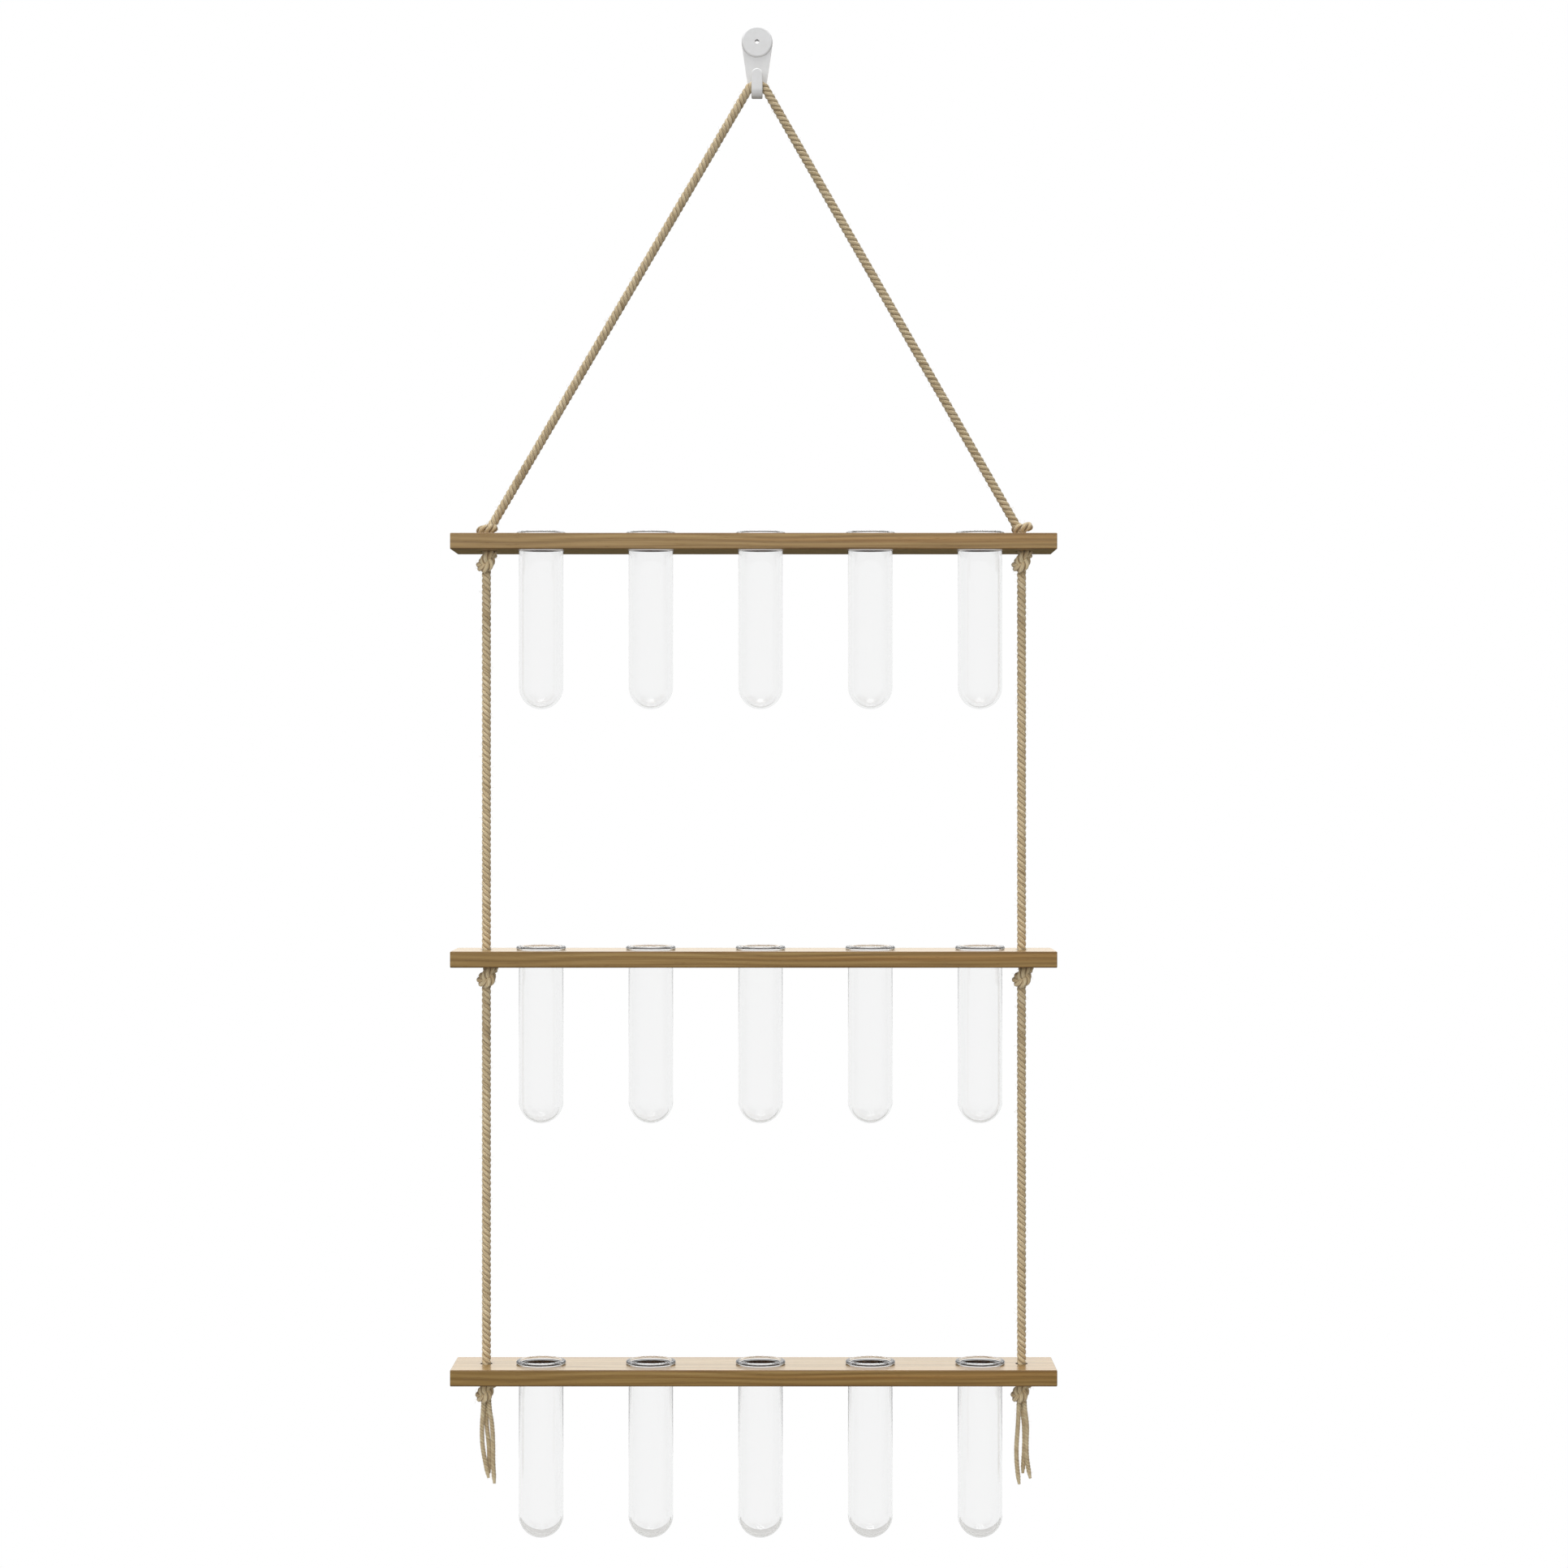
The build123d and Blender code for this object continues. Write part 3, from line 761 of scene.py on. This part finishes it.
def hole_mask(tree, across):
    """High on the walls of the tube and rope holes: darker end grain there, and painted shade inside the
    holes.
    """
    from_middle = sums(tree, "ABSOLUTE", sums(tree, "SUBTRACT", across["X"], row_middle))
    from_tube = sums(tree, "PINGPONG", from_middle, tube_pitch / 2)
    from_rope = sums(tree, "SUBTRACT", sums(tree, "ABSOLUTE", across["X"]), rope_reach)
    masks = []
    for offset, radius in ((from_tube, tube_hole), (from_rope, rope_hole)):
        distance = off_axis(tree, offset, across["Y"])
        masks.append(mapped(tree, distance, radius + 0.00015, radius + 0.00005))
    inside_row = sums(tree, "LESS_THAN", from_middle, row_reach)
    return sums(tree, "MAXIMUM", sums(tree, "MULTIPLY", masks[0], inside_row), masks[1])

print("tube holes every", round(tube_pitch * in_millimetres, 2), "mm")

# %% Wood finish
heart_y, heart_z, ring_waves, ring_bend = 0.031, 0.052, 1900, 0.012
wood_tones = [(0.28, (106, 78, 38)), (0.45, (139, 110, 63)), (0.57, (157, 127, 77)), (0.76, (184, 154, 102))]
heart_stain, pore_stain = (255, 240, 226), (208, 194, 174)
edge_line_tint, hole_end_grain_and_shade = (196, 184, 168), (132, 112, 90)


def oiled_wood(name, middle, half):
    """Wood for one bar, with its grain centred on the bar."""
    finish, tree, shader = new_finish(name, 0.3, Coat_Weight=0.4, Coat_Roughness=0.2)
    object_place = add_node(tree, "ShaderNodeTexCoord").outputs["Object"]
    to_middle = tuple(-c for c in middle)
    place = add_node(tree, "ShaderNodeMapping", Vector=object_place, Location=to_middle).outputs[0]
    across = split(tree, place)
    ring = off_axis(tree, sums(tree, "ADD", across["Y"], heart_y), sums(tree, "ADD", across["Z"], heart_z))
    ring = sums(tree, "MULTIPLY_ADD", noise(tree, place, (5, 40, 40), 2), ring_bend, ring)
    band = sums(tree, "SINE", sums(tree, "MULTIPLY", ring, ring_waves))
    band = sums(tree, "MULTIPLY_ADD", band, 0.5, 0.5)
    streaks = noise(tree, place, (14, 1100, 1100), 4)
    broad = noise(tree, place, (4, 160, 160), 3)
    tone = blended(tree, (band, 0.16), (streaks, 0.42), (broad, 0.42))
    colour = colour_ramp(tree, tone, [(stop, seen_colour(*tint)) for stop, tint in wood_tones])
    heart_mask = mapped(tree, noise(tree, place, (3, 90, 260), 2), 0.45, 0.65)
    pore_mask = mapped(tree, noise(tree, place, (120, 4200, 4200), 2), 0.64, 0.74)
    colour = darkened(tree, colour, heart_mask, heart_stain)
    colour = darkened(tree, colour, pore_mask, pore_stain)
    colour = darkened(tree, colour, edge_mask(tree, across, half), edge_line_tint)
    # The hole walls get darker end grain and painted shade.
    colour = darkened(tree, colour, hole_mask(tree, across), hole_end_grain_and_shade)
    tree.links.new(colour, shader.inputs["Base Color"])
    tree.links.new(mapped(tree, tone, 0.0, 1.0, 0.34, 0.24), shader.inputs["Roughness"])
    height = sums(tree, "SUBTRACT", tone, sums(tree, "MULTIPLY", pore_mask, 0.5))
    bumped(tree, shader, height, strength=0.25, distance=0.0003)
    return finish

print("growth rings every", round(math.tau / ring_waves * in_millimetres, 1), "mm")

# %% Dress the bars
def dress(node, finish):
    """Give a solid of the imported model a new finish."""
    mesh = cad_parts[node].data
    mesh.materials.clear()
    mesh.materials.append(finish)

for bar in bar_tops:
    low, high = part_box(f"{bar}_bar")
    middle = [(a + b) / 2 for a, b in zip(low, high)]
    half = [(b - a) / 2 for a, b in zip(low, high)]
    dress(f"{bar}_bar", oiled_wood(f"oiled_wood_{bar}", middle, half))
print("bars dressed:", len(bar_tops))

# %% [markdown]
# ## Glass tubes
# The tubes are thin clear glass with a round bottom and a rim that flares to sit on the bar. Glass shows
# every facet, so each tube is turned on a lathe: one section, spun round the tube's axis in many steps
# and closed at the poles. What makes clear glass visible on white is its edge, where one looks through a
# lot of it, so the glass absorbs a little light.

# %% Tube section
def corner_arc(middle, radius, first, last, steps):
    """Points on a quarter round of the section, as distance from the axis and height."""
    angles = [math.radians(first + (last - first) * i / steps) for i in range(steps + 1)]
    return [(middle[0] + radius * math.cos(a), middle[1] + radius * math.sin(a)) for a in angles]

tube_radius, bore_radius, rim_radius = 0.0125, 0.0113, 0.0140
rim_height, tube_length, tube_base = 0.0022, 0.100, 0.0014
neck, under, top_round, mouth = 0.0004, 0.0009, 0.0012, 0.0010
straight, neck_start = 0.03, -0.002
foot = rim_height - tube_length
inner_round = foot + tube_base + bore_radius
tube_section = corner_arc((0, foot + tube_radius), tube_radius, -90, 0, 20)
tube_section += [(tube_radius, foot + tube_radius + straight), (tube_radius, neck_start)]
tube_section += corner_arc((tube_radius + neck, -neck), neck, 180, 90, 3)
tube_section += corner_arc((rim_radius - under, under), under, -90, 0, 4)
tube_section += corner_arc((rim_radius - top_round, rim_height - top_round), top_round, 0, 90, 5)
tube_section += corner_arc((bore_radius + mouth, rim_height - mouth), mouth, 90, 180, 5)
tube_section += [(bore_radius, inner_round + straight)]
tube_section += corner_arc((0, inner_round), bore_radius, 0, -90, 18)
print("tube section:", len(tube_section), "points")

# %% Glass finish
glass_tint, glass_density = (0.50, 0.512, 0.51, 1), 76.0
glass, glass_tree, _ = new_finish("clear_glass", 0.0, Base_Color=white, IOR=1.47, Transmission_Weight=1.0)
glass_depth = add_node(glass_tree, "ShaderNodeVolumeAbsorption", Color=glass_tint, Density=glass_density)
glass_tree.links.new(glass_depth.outputs[0], glass_tree.nodes["Material Output"].inputs["Volume"])
print("glass absorbs", round(glass_density * (1 - glass_tint[0])), "per metre")

# %% Turn the tubes
def turned_tube(name, x, y, seat, steps=72):
    """Spin the section round an upright axis and close its poles."""
    shape = bmesh.new()
    angles = [math.tau * i / steps for i in range(steps)]
    rings = []
    for radius, height in tube_section:
        if radius < 1e-7:
            rings.append([shape.verts.new((x, y, seat + height))])
            continue
        rings.append([shape.verts.new((x + radius * math.cos(a), y + radius * math.sin(a), seat + height))
                      for a in angles])
    for one, two in zip(rings, rings[1:]):
        for i in range(steps):
            j = (i + 1) % steps
            corners = [one[i % len(one)], one[j % len(one)], two[j % len(two)], two[i % len(two)]]
            shape.faces.new(list(dict.fromkeys(corners)))
    mesh = bpy.data.meshes.new(name)
    shape.to_mesh(mesh)
    shape.free()
    mesh.polygons.foreach_set("use_smooth", [True] * len(mesh.polygons))
    mesh.materials.append(glass)
    piece = bpy.data.objects.new(name, mesh)
    scene.collection.objects.link(piece)
    return piece

for bar, top in bar_tops.items():
    for number in range(1, 6):
        name = f"{bar}_tube_{number}"
        low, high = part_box(name)
        pieces[name] = turned_tube(f"glass_{name}", (low[0] + high[0]) / 2, (low[1] + high[1]) / 2, top)
print("tubes turned:", sum("tube" in name for name in pieces))

# %% [markdown]
# ## The hook
# The hook is a small white moulding with a satin skin. Its solid is right as it is and only needs a
# finish: a nearly white plastic, a trace of mottling, and the faint orange peel that a mould leaves.

# %% Hook finish
plastic, plastic_tree, plastic_shader = new_finish("white_moulding", 0.42, Specular_IOR_Level=0.25)
plastic_place = add_node(plastic_tree, "ShaderNodeTexCoord").outputs["Object"]
mottle = noise(plastic_tree, plastic_place, (220, 220, 220), 3)
plastic_tones = [(0.3, seen_colour(227, 228, 229)), (0.7, seen_colour(232, 233, 235))]
plastic_colour = colour_ramp(plastic_tree, mottle, plastic_tones)
plastic_tree.links.new(plastic_colour, plastic_shader.inputs["Base Color"])
peel = noise(plastic_tree, plastic_place, (1800, 1800, 1800), 2)
bumped(plastic_tree, plastic_shader, peel, strength=0.08, distance=0.0002)
dress("wall_hook", plastic)
print("hook dressed in", plastic.name)

# %% [markdown]
# ## What rides on what
# Every piece now joins the body that carries it and takes the place of its solid. The ropes and tails
# also have their lengths printed.

# %% Bodies
bar_bodies = {"top": "top_tier", "middle": "middle_tier", "bottom": "bottom_tier"}
for name, piece in pieces.items():
    if "tube" in name:
        body, slot = name, "tube_glass"
    elif name == "hanging_rope" or "upper" in name:
        body, slot = "top_tier", "jute_rope"
    elif name.endswith("strand"):
        body, slot = "bottom_tier", "jute_rope"
    else:
        body, slot = bar_bodies[name.split("_")[1]], "jute_rope"
    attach(piece, body)
    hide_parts(name)
print("pieces riding:", len(pieces))

# %% Cords
def path_length(points):
    """The length of a line of points."""
    return sum(math.dist(a, b) for a, b in zip(points, points[1:]))

for name, points in paths.items():
    if name == "hanging_rope":
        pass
    elif name.endswith("strand"):
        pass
    else:
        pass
    print(name, round(path_length(points) * in_millimetres, 1), "mm")
